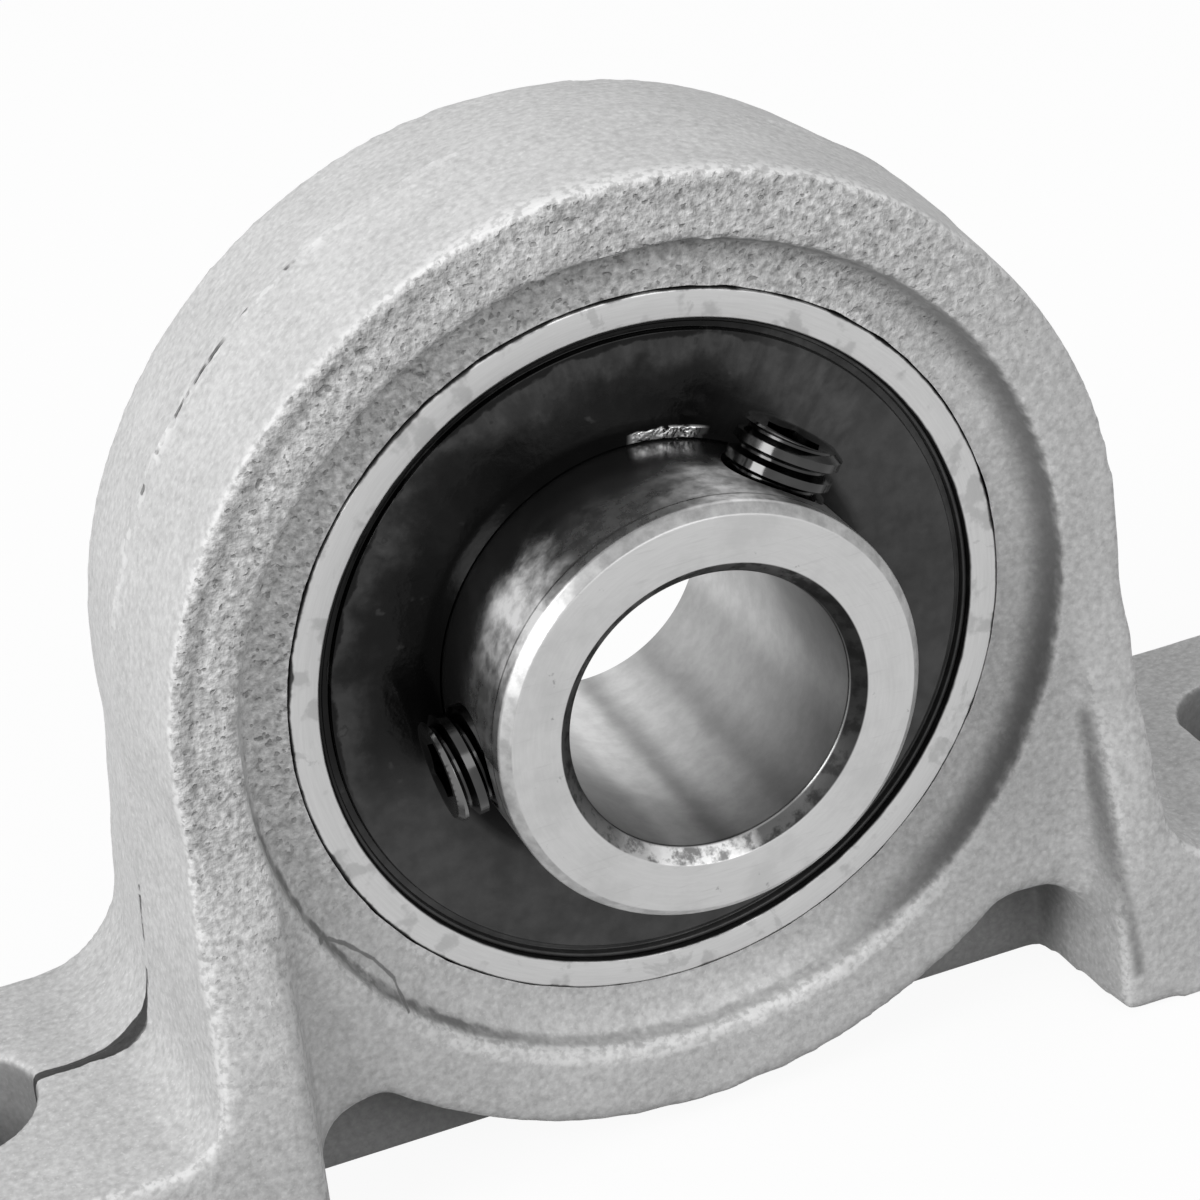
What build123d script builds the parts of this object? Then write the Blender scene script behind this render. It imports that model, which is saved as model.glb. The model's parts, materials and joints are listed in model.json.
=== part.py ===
# Pillow block bearing for an 8 mm shaft: a small cast housing on two feet that holds a
# self-aligning ball bearing insert with two set screws.
# Millimetres, +Z up, X along the base. The set screws are on the front, towards -Y.
# Origin: on the underside of the base, straight below the centre of the bore.
from build123d import *
import os
from math import cos, radians, sin, sqrt, tan

# Housing
axis_height = 15.0
bolt_spacing = 42.0
bolt_hole_diameter = 5.0
bolt_to_foot_end = 6.5
base_width = 12.0
foot_thickness = 5.25
foot_corner_radius = 3.0
foot_root_radius_front = 1.2    # the two die halves differ at the roots of the feet
foot_root_radius_back = 2.4
arch_ground_gap = 0.7           # a full arch circle would clear the ground by this much
leg_lean = 5.0                  # degrees that each flank leans outwards
draft = 4.5                     # degrees, both ways from the parting plane at Y = 0
body_beyond_ring = 0.9          # how far the arch is thicker than the outer ring, each side
flare_below_foot_top = 1.4      # the legs widen from the bore's height down to this
seat_clearance = 0.03           # between the spherical seat and the outer ring

# Pockets between the ring and the legs, the same front and back
web_thickness = 2.5
leg_width = 2.35
pocket_height = 4.0
pocket_corner_radius = 1.8
pocket_ring_step = 0.35         # the ring's underside, at the web, outside the arch circle
pocket_draft = 4.0
pocket_shift = 0.4              # the cores that form the pockets sit off centre in the casting

# Turned recess round the insert, the same front and back
recess_width = 1.0
recess_below_ring = 0.1         # from the outer ring's face down to the recess's mouth
recess_rise = 0.15              # the floor climbs from the mouth to the cove
recess_cove_radius = 0.5

# Bearing rings
bore_diameter = 8.0
bore_chamfer = 0.4
sphere_diameter = 22.0
ring_gap = 2.9                  # between the two rings, beside their races
outer_ring_width = 7.0
outer_ring_chamfer = 0.1
inner_ring_chamfer = 0.3
sleeve_front_land = 1.2         # from the screw holes to the inner ring's front face

# Balls and cage
ball_count = 7
race_conformity = 1.04          # groove radius over ball radius
race_clearance = 0.02
first_ball_angle = 90.0
cage_width = 1.5                # of the ribbon, measured radially
cage_sheet = 0.3
pocket_clearance = 0.1
rivet_diameter = 0.6
rivet_head_diameter = 1.1
rivet_head_height = 0.2
rivet_head_round = 0.15

# Seals, the same front and back: a rubber disc on a steel stiffener
seal_seat_wall = 0.83           # of the outer ring's face, outside the seal
seal_seat_chamfer = 0.08
seal_recess = 0.2
seal_thickness = 0.7655
seal_to_cage = 0.15
stiffener_thickness = 0.25
stiffener_to_lip = 0.1
stiffener_to_seat = 0.3
seal_lip_clearance = 0.05
seal_rim_width = 0.25
seal_groove_width = 0.25
seal_groove_depth = 0.15
seal_lip_width = 0.6
seal_lip_drop = 0.2

# Set screws, M3 with a hexagon socket and a flat point
screw_diameter = 3.0
screw_length = 3.0
screw_clearance = 0.02
screw_socket_flats = 1.5
screw_socket_depth = 1.3
screw_chamfer = 0.3
upper_screw_angle = 57.0        # round the bore, from +X seen from the front
upper_screw_height = 1.25       # above the inner ring's surface
side_screw_angle = 187.0
side_screw_height = 1.0
set_screws = {"set_screw_upper": (upper_screw_angle, upper_screw_height),
              "set_screw_side": (side_screw_angle, side_screw_height)}

# Worked out from the sizes above
base_length = bolt_spacing + 2 * bolt_to_foot_end
arch_radius = axis_height - arch_ground_gap
sphere_radius = sphere_diameter / 2
ring_half = outer_ring_width / 2
ring_face_radius = sqrt(sphere_radius ** 2 - ring_half ** 2)
base_half = base_width / 2
body_half = ring_half + body_beyond_ring
web_half = web_thickness / 2
flare_top = axis_height
flare_bottom = foot_thickness - flare_below_foot_top
bore_radius = bore_diameter / 2
ring_wall = (sphere_radius - bore_radius - ring_gap) / 2
sleeve_radius = bore_radius + ring_wall
outer_land_radius = sphere_radius - ring_wall
screw_height = ring_half + screw_diameter / 2
sleeve_front = screw_height + screw_diameter / 2 + sleeve_front_land
seal_front = ring_half - seal_recess
seal_back = seal_front - seal_thickness
cage_half = seal_back - seal_to_cage
pocket_radius = cage_half - cage_sheet
ball_radius = pocket_radius - pocket_clearance   # the balls fill the width between the seals
pitch_radius = (sleeve_radius + outer_land_radius) / 2
race_radius = ball_radius * race_conformity
race_depth = ball_radius + race_clearance - race_radius
seal_seat_radius = ring_face_radius - seal_seat_wall
seal_lip_radius = sleeve_radius + seal_lip_clearance
overcut = 1.0                   # how far a cutting solid runs past the surface it leaves
near = 0.01                     # tolerance for picking edges and corners

# The insert is built round its own Z axis, which points to the front of the block.
insert_frame = Plane(origin=(0, 0, axis_height), x_dir=(1, 0, 0), z_dir=(0, -1, 0))
parts = {}


def turned(*points):
    return revolve(Plane.XZ * make_face(Polyline(*points, close=True)), axis=Axis.Z)


def both_faces(shape):
    return shape, mirror(shape, about=Plane.XY)


def around(radius, angle, height=0.0):
    return Pos(radius * cos(radians(angle)), radius * sin(radians(angle)), height)


# Housing: one cast outline, drafted both ways from the parting plane
def cast_outline(root_radius):
    lean = radians(leg_lean)
    shoulder_x = arch_radius * cos(lean)
    shoulder_z = axis_height - arch_radius * sin(lean)
    ankle_x = shoulder_x + (shoulder_z + overcut) * tan(lean)
    legs = make_face(Polyline((-shoulder_x, shoulder_z), (shoulder_x, shoulder_z),
                              (ankle_x, -overcut), (-ankle_x, -overcut), close=True))
    foot = Pos(0, (foot_thickness - overcut) / 2) * Rectangle(base_length, foot_thickness + overcut)
    outline = Pos(0, axis_height) * Circle(arch_radius) + legs + foot
    roots = [v for v in outline.vertices()
             if abs(v.Y - foot_thickness) < near and abs(v.X) < ankle_x]
    return fillet(roots, root_radius)


def side_profile():
    middle = ((body_half + base_half) / 2, (flare_top + flare_bottom) / 2)
    top = axis_height + arch_radius + overcut
    half = make_face([
        Line((0, top), (body_half, top)),
        Line((body_half, top), (body_half, flare_top)),
        TangentArc((body_half, flare_top), middle, tangent=(0, -1)),
        TangentArc((base_half, flare_bottom), middle, tangent=(0, 1)),
        Line((base_half, flare_bottom), (base_half, 0)),
        Line((base_half, 0), (0, 0)),
        Line((0, 0), (0, top)),
    ])
    return half + mirror(half, about=Plane.YZ)


def cast_body():
    front = extrude(Plane.XZ * cast_outline(foot_root_radius_front), base_half, taper=draft)
    back = extrude(Plane.XZ * cast_outline(foot_root_radius_back), base_half, taper=draft)
    solid = front + mirror(back, about=Plane.XZ)
    solid &= extrude(Plane.YZ * side_profile(), base_length / 2, both=True)
    solid &= extrude(RectangleRounded(base_length, base_width, foot_corner_radius),
                     axis_height + arch_radius + overcut)
    return solid


# Everything in front of the web: the hollow under the ring and the gap between the legs
def pocket():
    half_width = arch_radius - leg_width
    hollow = Pos(pocket_shift, (pocket_height - overcut) / 2) * Rectangle(
        2 * half_width, pocket_height + overcut)
    hollow = fillet([v for v in hollow.vertices() if v.Y > 0], pocket_corner_radius)
    hollow -= Pos(0, axis_height) * Circle(arch_radius + pocket_ring_step)
    gap_half_width = half_width + (body_half - web_half) * tan(radians(pocket_draft))
    gap = Pos(pocket_shift, (flare_top - overcut) / 2) * Rectangle(
        2 * gap_half_width, flare_top + overcut)
    front = base_half + overcut
    return (Pos(0, -web_half, 0)
            * extrude(Plane.XZ * hollow, front - web_half, taper=-pocket_draft)
            + Pos(0, -body_half, 0)
            * extrude(Plane.XZ * gap, front - body_half, taper=-pocket_draft))


def recess():
    rim = sphere_radius + recess_width
    floor = ring_half - recess_below_ring
    section = make_face(Polyline(
        (0, floor), (ring_face_radius, floor), (rim, floor + recess_rise),
        (rim, body_half + overcut), (0, body_half + overcut), close=True))
    cove = section.vertices().sort_by_distance((rim, floor + recess_rise))[0]
    return revolve(Plane.XZ * fillet(cove, recess_cove_radius), axis=Axis.Z)


def make_housing():
    solid = cast_body()
    for cut in (pocket(), mirror(pocket(), about=Plane.XZ)):
        solid -= cut
    for cut in both_faces(recess()):
        solid -= insert_frame.location * cut
    solid -= insert_frame.location * Sphere(sphere_radius + seat_clearance)
    for side in (-1, 1):
        solid -= Pos(side * bolt_spacing / 2, 0, 0) * Cylinder(
            bolt_hole_diameter / 2, 2 * (foot_thickness + overcut))
    return solid


parts["housing"] = make_housing()


# Rings
def race(radius):
    return Torus(radius, race_radius)


def circles(solid, radius):
    return [e for e in solid.edges().filter_by(GeomType.CIRCLE) if abs(e.radius - radius) < near]


def make_outer_ring():
    solid = Cylinder(sphere_radius, outer_ring_width) & Sphere(sphere_radius)
    solid -= Cylinder(outer_land_radius, outer_ring_width + overcut)
    solid -= race(pitch_radius + race_depth)
    seat = Cylinder(seal_seat_radius, ring_half - seal_back + overcut)
    for cut in both_faces(Pos(0, 0, (ring_half + seal_back + overcut) / 2) * seat):
        solid -= cut
    solid = chamfer(circles(solid, ring_face_radius), outer_ring_chamfer)
    mouths = [e for e in circles(solid, seal_seat_radius)
              if abs(abs(e.arc_center.Z) - ring_half) < near]
    return chamfer(mouths, seal_seat_chamfer)


def on_screw_axis(shape, angle):
    outwards = (cos(radians(angle)), sin(radians(angle)), 0)
    return Plane(origin=(0, 0, screw_height), x_dir=(0, 0, 1), z_dir=outwards).location * shape


def make_inner_ring():
    length = sleeve_front + ring_half
    solid = Pos(0, 0, sleeve_front - length / 2) * (
        Cylinder(sleeve_radius, length) - Cylinder(bore_radius, length + overcut))
    solid = chamfer(circles(solid, bore_radius), bore_chamfer)
    solid = chamfer(circles(solid, sleeve_radius), inner_ring_chamfer)
    solid -= race(pitch_radius - race_depth)
    hole = Cylinder(screw_diameter / 2, 2 * ring_wall)
    for angle, stand_out in set_screws.values():
        solid -= on_screw_axis(Pos(0, 0, sleeve_radius - ring_wall / 2) * hole, angle)
    return solid


def make_set_screw(angle, stand_out):
    shank = Pos(0, 0, -screw_length / 2) * Cylinder(
        screw_diameter / 2 - screw_clearance, screw_length)
    shank = chamfer(shank.edges().filter_by(GeomType.CIRCLE), screw_chamfer)
    socket = RegularPolygon(screw_socket_flats / 2, 6, major_radius=False)
    shank -= extrude(socket, -screw_socket_depth)
    return on_screw_axis(Pos(0, 0, sleeve_radius + stand_out) * shank, angle)


parts["outer_ring"] = make_outer_ring()
parts["inner_ring"] = make_inner_ring()
for name, (angle, stand_out) in set_screws.items():
    parts[name] = make_set_screw(angle, stand_out)


# Balls and the riveted ribbon cage
ball_angles = [first_ball_angle + 360 / ball_count * i for i in range(ball_count)]
rivet_angles = [angle + 180 / ball_count for angle in ball_angles]
for i, angle in enumerate(ball_angles):
    parts[f"ball_{i + 1}"] = around(pitch_radius, angle) * Sphere(ball_radius)


def make_cage_half():
    outer = pitch_radius + cage_width / 2
    inner = pitch_radius - cage_width / 2
    half = Pos(0, 0, cage_sheet / 2) * Cylinder(outer, cage_sheet)
    for angle in ball_angles:
        half += around(pitch_radius, angle) * Sphere(cage_half)
    half &= Pos(0, 0, cage_half / 2) * (Cylinder(outer, cage_half) - Cylinder(inner, cage_half))
    for angle in ball_angles:
        half -= around(pitch_radius, angle) * Sphere(pocket_radius)
    for angle in rivet_angles:
        half -= around(pitch_radius, angle) * Cylinder(rivet_diameter / 2, 2 * cage_half)
    return half


def make_rivet():
    shank = Cylinder(rivet_diameter / 2, 2 * cage_sheet)
    head = Pos(0, 0, cage_sheet + rivet_head_height / 2) * Cylinder(
        rivet_head_diameter / 2, rivet_head_height)
    head = fillet(head.edges().sort_by(Axis.Z)[-1], rivet_head_round)
    return shank + head + mirror(head, about=Plane.XY)


parts["cage_front"], parts["cage_back"] = both_faces(make_cage_half())
parts["cage_rivets"] = Compound([around(pitch_radius, angle) * make_rivet() for angle in rivet_angles])


# Seals
def make_stiffener():
    inner = seal_lip_radius + seal_lip_width + stiffener_to_lip
    outer = seal_seat_radius - stiffener_to_seat
    top = seal_back + stiffener_thickness
    return turned((inner, seal_back), (outer, seal_back), (outer, top), (inner, top))


def make_seal():
    lip = seal_lip_radius
    rim = seal_seat_radius - seal_rim_width
    groove = rim - seal_groove_width
    groove_floor = seal_front - seal_groove_depth
    disc = turned((lip, seal_back), (seal_seat_radius, seal_back), (seal_seat_radius, seal_front),
                  (rim, seal_front), (rim, groove_floor), (groove, groove_floor),
                  (groove, seal_front), (lip + seal_lip_width, seal_front),
                  (lip, seal_front - seal_lip_drop))
    return disc - make_stiffener()


parts["seal_stiffener_front"], parts["seal_stiffener_back"] = both_faces(make_stiffener())
parts["seal_front"], parts["seal_back"] = both_faces(make_seal())

os.makedirs("parts", exist_ok=True)
for name, shape in parts.items():
    placed = shape if name == "housing" else insert_frame.location * shape
    export_step(placed, f"parts/{name}.step")
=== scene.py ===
import json
import math
import bpy
import bmesh
from mathutils import Matrix, Quaternion, Vector, noise


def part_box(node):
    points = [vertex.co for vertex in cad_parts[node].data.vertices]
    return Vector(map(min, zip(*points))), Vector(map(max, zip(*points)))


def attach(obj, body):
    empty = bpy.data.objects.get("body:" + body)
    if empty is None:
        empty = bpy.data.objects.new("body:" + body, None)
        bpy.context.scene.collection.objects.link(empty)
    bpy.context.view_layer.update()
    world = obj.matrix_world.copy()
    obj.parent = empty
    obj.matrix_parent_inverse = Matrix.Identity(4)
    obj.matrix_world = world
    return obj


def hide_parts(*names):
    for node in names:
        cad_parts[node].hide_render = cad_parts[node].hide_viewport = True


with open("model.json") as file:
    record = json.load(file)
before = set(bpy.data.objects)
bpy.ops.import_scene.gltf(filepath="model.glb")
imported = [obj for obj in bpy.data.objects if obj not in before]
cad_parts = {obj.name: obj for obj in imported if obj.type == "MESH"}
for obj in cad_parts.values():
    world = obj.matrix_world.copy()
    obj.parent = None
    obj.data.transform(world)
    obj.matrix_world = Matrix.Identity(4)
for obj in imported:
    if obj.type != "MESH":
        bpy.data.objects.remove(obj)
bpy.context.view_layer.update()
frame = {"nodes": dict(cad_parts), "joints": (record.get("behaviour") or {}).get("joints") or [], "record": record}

mm = 0.001  # pieces are shaped in millimetres and shrunk to metres at the end

# Places that every piece shares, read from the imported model
joints = {joint["name"]: joint for joint in frame["joints"]}
axisHeight = joints["shaft_spin"]["pos_m"][2] / mm
outerLow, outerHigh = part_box("outer_ring")
innerLow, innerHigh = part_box("inner_ring")
sealLow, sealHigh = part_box("seal_front")
ballLow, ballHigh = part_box("ball_1")
ringHalf = outerHigh.y / mm
sphereRadius = outerHigh.x / mm
sleeveRadius = innerHigh.x / mm
sleeveFront = -innerLow.y / mm
sealFace = -sealLow.y / mm
sealBack = -sealHigh.y / mm
seatRadius = sealHigh.x / mm
ballRadius = (ballHigh.x - ballLow.x) / 2 / mm
pitchRadius = (ballLow.z + ballHigh.z) / 2 / mm - axisHeight
mounts = {mount["name"]: mount["dims"] for mount in frame["record"]["mounts"]}
boreRadius = mounts["shaft_bore"]["r_mm"]
holeMiddle, holeRadius = mounts["foot_bolts"]["spacing_x_mm"] / 2, mounts["foot_bolts"]["hole_r_mm"]

# Small sizes of the ring sections, which the turned steel finish reads too
rings = {"edge": 0.05, "gap": 2.9, "conformity": 1.04, "raceClearance": 0.02,
         "boreChamfer": 0.4, "endChamfer": 0.3, "seatChamfer": 0.08, "raceSteps": 16, "sphereSteps": 24}


# Mesh helpers, all in millimetres
def addObject(name, data):
    made = bpy.data.objects.new(name, data)
    bpy.context.scene.collection.objects.link(made)
    return made


def toObject(name, bm):
    mesh = bpy.data.meshes.new(name)
    bm.to_mesh(mesh)
    bm.free()
    return addObject(name, mesh)


def applyModifiers(piece):
    bpy.context.view_layer.update()
    shaped = bpy.data.meshes.new_from_object(
        piece.evaluated_get(bpy.context.evaluated_depsgraph_get()))
    piece.modifiers.clear()
    old = piece.data
    piece.data = shaped
    bpy.data.meshes.remove(old)


def cutWith(piece, cutter, operation="DIFFERENCE"):
    cut = piece.modifiers.new("cut", "BOOLEAN")
    cut.object = cutter
    cut.operation = operation
    cut.solver = "EXACT"
    applyModifiers(piece)
    bpy.data.objects.remove(cutter)


def addCylinder(bm, radius, depth, matrix, segments, foot=None):  # foot is the lower radius of a cone
    bmesh.ops.create_cone(bm, cap_ends=True, segments=segments, radius1=radius if foot is None else foot,
                          radius2=radius, depth=depth, matrix=matrix)


def sliceAt(bm, place, normal, clearOuter=False):
    bmesh.ops.bisect_plane(bm, geom=bm.verts[:] + bm.edges[:] + bm.faces[:], dist=0.0001,
                           plane_co=place, plane_no=normal, clear_outer=clearOuter)


def smoothVerts(bm, verts, rounds):
    for _ in range(rounds):
        bmesh.ops.smooth_vert(bm, verts=verts, factor=0.5, use_axis_x=True, use_axis_y=True, use_axis_z=True)


def nearest(bm, place):
    return min(bm.verts, key=lambda vert: (vert.co - place).length_squared)


def bevelCorner(bm, place, size):
    bmesh.ops.bevel(bm, geom=[nearest(bm, place)], offset=size, offset_type="OFFSET", segments=5,
                    profile=0.5, affect="VERTICES", material=-1, clamp_overlap=True)


def bowEdge(bm, start, end, centre, radius, cuts):  # bends one straight edge onto a circle
    edge = bm.edges.get((nearest(bm, start), nearest(bm, end)))
    made = bmesh.ops.subdivide_edges(bm, edges=[edge], cuts=cuts)["geom_inner"]
    for vert in [g for g in made if isinstance(g, bmesh.types.BMVert)]:
        vert.co = centre + (vert.co - centre).normalized() * radius


# corners are (radius, distance in front of the ring's middle, rounding)
def lathe(name, corners, bows=(), steps=256):
    bm = bmesh.new()
    places = [Vector((radius, -front, 0)) for radius, front, _ in corners]
    bm.faces.new([bm.verts.new(place) for place in places])
    for first, second, centreRadius, radius, cuts in bows:
        bowEdge(bm, places[first], places[second], Vector((centreRadius, 0, 0)), radius, cuts)
    for place, (_, _, rounding) in zip(places, corners):
        if rounding:
            bevelCorner(bm, place, rounding)
    bmesh.ops.delete(bm, geom=bm.faces[:], context="FACES_ONLY")
    bmesh.ops.spin(bm, geom=bm.verts[:] + bm.edges[:], cent=(0, 0, 0), axis=(0, 1, 0),
                   angle=math.tau, steps=steps, use_merge=True)
    bmesh.ops.remove_doubles(bm, verts=bm.verts, dist=0.0001)
    bmesh.ops.recalc_face_normals(bm, faces=bm.faces)
    bmesh.ops.translate(bm, vec=(0, 0, axisHeight), verts=bm.verts)
    return toObject(name, bm)


def dress(piece, body, material, replaced, sharp=35):
    piece.data.transform(Matrix.Scale(mm, 4))
    piece.data.materials.clear()
    piece.data.materials.append(material)
    for face in piece.data.polygons:
        face.use_smooth = True
    piece.data.set_sharp_from_angle(angle=math.radians(sharp))
    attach(piece, body)
    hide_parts(*replaced)
    print("made", piece.name, len(piece.data.polygons), "faces")


# Node helpers
def plug(tree, value, target):
    if isinstance(value, bpy.types.NodeSocket):
        tree.links.new(value, target)
    else:
        target.default_value = value


def addNode(tree, kind, settings=None, **sockets):
    made = tree.nodes.new("ShaderNode" + kind)
    for name, value in (settings or {}).items():
        setattr(made, name, value)
    for key, value in sockets.items():
        plug(tree, value, made.inputs[int(key[1:]) if key[1:].isdigit() else key])
    return made


def calc(tree, operation, first, second=0.0, third=0.0, clamp=False):
    return addNode(tree, "Math", {"operation": operation, "use_clamp": clamp},
                   i0=first, i1=second, i2=third).outputs[0]


def addScaled(tree, value, scale, base):
    return calc(tree, "MULTIPLY_ADD", value, scale, base)


def minus(tree, value, amount):
    return calc(tree, "SUBTRACT", value, amount)


def unsigned(tree, value):
    return calc(tree, "ABSOLUTE", value)


def joined(tree, operation, values):
    result = values[0]
    for value in values[1:]:
        result = calc(tree, operation, result, value)
    return result


def times(tree, *values):
    return joined(tree, "MULTIPLY", values)


def most(tree, *values):
    return joined(tree, "MAXIMUM", values)


def distance(tree, first, second):
    return calc(tree, "SQRT", addScaled(tree, first, first, times(tree, second, second)))


def fade(tree, value, start, end, low=0.0, high=1.0, kind="SMOOTHSTEP"):
    return addNode(tree, "MapRange", {"interpolation_type": kind},
                   i0=value, i1=start, i2=end, i3=low, i4=high).outputs[0]


def ease(tree, amount, low, high):  # low where the amount is 0, high where it is 1
    return fade(tree, amount, 0.0, 1.0, low, high)


def fadeFrom(tree, value, limit, row, strength=1.0):  # the row counts from a limit
    return fade(tree, value, limit + row[0], limit + row[1], 0.0, strength)


def near(tree, value, middle, outer, inner, away=0.0, there=1.0):
    return fade(tree, unsigned(tree, minus(tree, value, middle)), outer, inner, away, there)


def between(tree, value, start, end, soft):
    return times(tree, fade(tree, value, start - soft, start + soft),
                 fade(tree, value, end + soft, end - soft))


def shake(tree, value, texture, width):  # a texture moves a value by half the width either way
    return addScaled(tree, texture, width, minus(tree, value, width / 2))


def mix(tree, amount, first, second):
    first, second = (tone if isinstance(tone, bpy.types.NodeSocket) else (tone, tone, tone, 1)
                     for tone in (first, second))
    return addNode(tree, "Mix", {"data_type": "RGBA"}, i0=amount, i6=first, i7=second).outputs[2]


def bands(tree, value, stops):  # brightness that follows given (place, tone) stops
    low, high = stops[0][0], stops[-1][0]
    ramp = addNode(tree, "ValToRGB", Fac=fade(tree, value, low, high, kind="LINEAR"))
    ramp.color_ramp.interpolation = "EASE"
    while len(ramp.color_ramp.elements) < len(stops):
        ramp.color_ramp.elements.new(0.5)
    for element, (place, tone) in zip(ramp.color_ramp.elements, stops):
        element.position = (place - low) / (high - low)
        element.color = (tone, tone, tone, 1)
    return ramp.outputs[0]


def objectPlace(tree):
    return addNode(tree, "TexCoord").outputs["Object"]


def speckle(tree, place, scale, detail, roughness=0.5, distortion=0.0):
    return addNode(tree, "TexNoise", Vector=place, Scale=scale, Detail=detail,
                   Roughness=roughness, Distortion=distortion).outputs[0]


def split(tree, vector):
    return addNode(tree, "SeparateXYZ", Vector=vector).outputs


def startGroup(name, given, puts):
    tree = bpy.data.node_groups.new(name, "ShaderNodeTree")
    for label, value in given.items():
        socket = tree.interface.new_socket(name=label, in_out="INPUT", socket_type="NodeSocketFloat")
        socket.default_value = value
    for label in puts:
        tree.interface.new_socket(name=label, in_out="OUTPUT", socket_type="NodeSocketFloat")
    return tree, tree.nodes.new("NodeGroupInput").outputs, tree.nodes.new("NodeGroupOutput").inputs


def useGroup(tree, group, **values):
    made = addNode(tree, "Group", {"node_tree": group})
    for label, value in values.items():
        made.inputs[label].default_value = value
    return made.outputs


# Radius and angle round the bore, and millimetres in front of the ring's middle, across and up
def makeBorePlaces():
    tree, _, puts = startGroup("borePlaces", {}, ("Radius", "Turn", "Front", "Across", "Up"))
    place = split(tree, objectPlace(tree))
    across, up = times(tree, place[0], 1 / mm), times(tree, place[2], 1 / mm)
    above = minus(tree, up, axisHeight)
    plug(tree, distance(tree, across, above), puts["Radius"])
    plug(tree, times(tree, calc(tree, "ARCTAN2", above, across), 180 / math.pi), puts["Turn"])
    plug(tree, times(tree, place[1], -1 / mm), puts["Front"])
    plug(tree, across, puts["Across"])
    plug(tree, up, puts["Up"])
    return tree


# From here on, rows such as (0.38, 0.29) say where a fade starts and ends, and longer ones what it
# gives there. Rows for around are (turn, inside, outside) in degrees, and how strong it is.

# The sandy skin of a die casting: pits and sparks have their scale as a share of the grains'
sand = {"grains": 5, "cells": 0.8, "cellDepth": -0.45, "lift": 0.22, "pitScale": 0.85, "pits": (0.38, 0.29),
        "sparkScale": 1.9, "sparks": (0.7, 0.78), "toneScale": 380.0}


def makeCastGrain():
    tree, given, puts = startGroup("castGrain", {"Grains": sand["grains"]},
                                   ("Height", "Pits", "Sparks", "Tone"))
    place = objectPlace(tree)
    fine = times(tree, given["Grains"], 1 / mm)
    cells = addNode(tree, "TexVoronoi", {"feature": "SMOOTH_F1"}, Vector=place, Randomness=1.0,
                    Scale=times(tree, fine, sand["cells"]), Smoothness=0.8).outputs["Distance"]
    lumps = addScaled(tree, cells, sand["cellDepth"], speckle(tree, place, fine, 2.0, 0.6))
    holes = speckle(tree, place, times(tree, fine, sand["pitScale"]), 1.0)
    sparks = speckle(tree, place, times(tree, fine, sand["sparkScale"]), 0.0)
    plug(tree, calc(tree, "ADD", lumps, sand["lift"]), puts["Height"])
    plug(tree, fade(tree, holes, *sand["pits"]), puts["Pits"])
    plug(tree, fade(tree, sparks, *sand["sparks"]), puts["Sparks"])
    plug(tree, speckle(tree, place, sand["toneScale"], 4.0), puts["Tone"])
    return tree


# Fine lines left by the grinding wheel, running round the bore, and a few scratches across them
grinding = {"lines": 12, "broken": 0.15, "scratchTurn": (0.2, 0.9, 0.4), "scratchScale": (900, 5200, 14000),
            "scratches": (0.6, 0.72)}


def makeGrindLines():
    tree, given, puts = startGroup("grindLines", {"Lines": grinding["lines"], "Broken": grinding["broken"]},
                                   ("Lines", "Scratches"))
    places = useGroup(tree, borePlaces)
    lay = addNode(tree, "CombineXYZ", X=times(tree, places["Radius"], given["Lines"]),
                  Y=times(tree, places["Turn"], given["Broken"]),
                  Z=times(tree, places["Front"], given["Lines"])).outputs[0]
    tilted = addNode(tree, "Mapping", Vector=objectPlace(tree), Rotation=grinding["scratchTurn"],
                     Scale=grinding["scratchScale"]).outputs[0]
    plug(tree, speckle(tree, lay, 1.0, 3.0, 0.7), puts["Lines"])
    plug(tree, fade(tree, speckle(tree, tilted, 1.0, 2.0), *grinding["scratches"]), puts["Scratches"])
    return tree


# Patches of oil and grease
grease = {"patches": 0.6, "cover": 0.5, "roughness": 0.62, "distortion": 0.6, "edge": 0.06, "folds": 3.5}


def makeGreaseFilm():
    tree, given, puts = startGroup("greaseFilm", {"Patches": grease["patches"], "Cover": grease["cover"]},
                                   ("Film", "Height"))
    place = objectPlace(tree)
    scale = times(tree, given["Patches"], 1 / mm)
    patch = speckle(tree, place, scale, 6.0, grease["roughness"], grease["distortion"])
    low = minus(tree, 1.0, given["Cover"])
    film = fade(tree, patch, low, calc(tree, "ADD", low, grease["edge"]))
    folds = speckle(tree, place, times(tree, scale, grease["folds"]), 3.0)
    plug(tree, film, puts["Film"])
    plug(tree, times(tree, film, folds), puts["Height"])
    return tree


borePlaces = makeBorePlaces()
castGrain = makeCastGrain()
grindLines = makeGrindLines()
greaseFilm = makeGreaseFilm()


def startMaterial(name, metallic):
    material = bpy.data.materials.new(name)
    material.use_nodes = True
    tree = material.node_tree
    shader = tree.nodes["Principled BSDF"].inputs
    shader["Metallic"].default_value = metallic
    return material, tree, shader


def addBump(tree, shader, height, depth):  # depth in millimetres
    bump = addNode(tree, "Bump", Strength=1.0, Distance=depth * mm, Height=height)
    plug(tree, bump.outputs[0], shader["Normal"])


def around(tree, places, middle, inside, outside, strength=1.0):  # strong near one turn, 0 well away from it
    apart = calc(tree, "COSINE", times(tree, minus(tree, places["Turn"], middle), math.pi / 180))
    return fade(tree, apart, math.cos(math.radians(outside)), math.cos(math.radians(inside)), 0.0, strength)


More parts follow.
